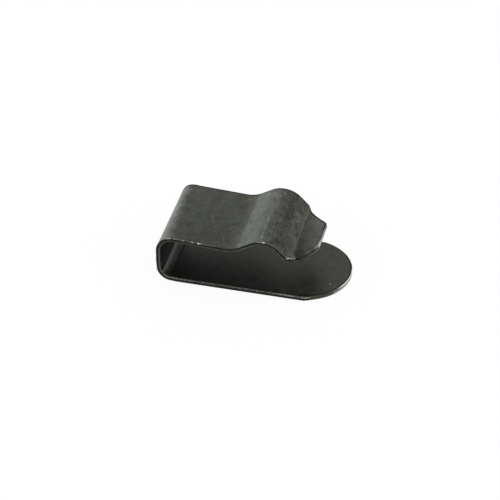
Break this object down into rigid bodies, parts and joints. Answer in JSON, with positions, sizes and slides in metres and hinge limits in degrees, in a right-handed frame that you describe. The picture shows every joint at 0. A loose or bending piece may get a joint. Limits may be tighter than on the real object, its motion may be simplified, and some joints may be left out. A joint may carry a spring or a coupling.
{
  "type": "fairing clip",
  "caption": "One-piece spring steel push-on clip: a flat round-ended base leg folds back into a sprung leg with a dip, a hump and a tapered lead-in tongue.",
  "frame": {"origin": "on the underside of the base leg, at the middle of the clip's length and width", "axes": "+X from the fold to the mouth, +Y across the strip, +Z from the base leg to the sprung leg"},
  "size_m": [0.0314, 0.016, 0.0105],
  "materials": {
    "spring_steel": "black-oxide spring steel, satin, worn bright along the edges"
  },
  "bodies": {
    "root": {"spring_clip": "spring_steel"}
  },
  "joints": []
}
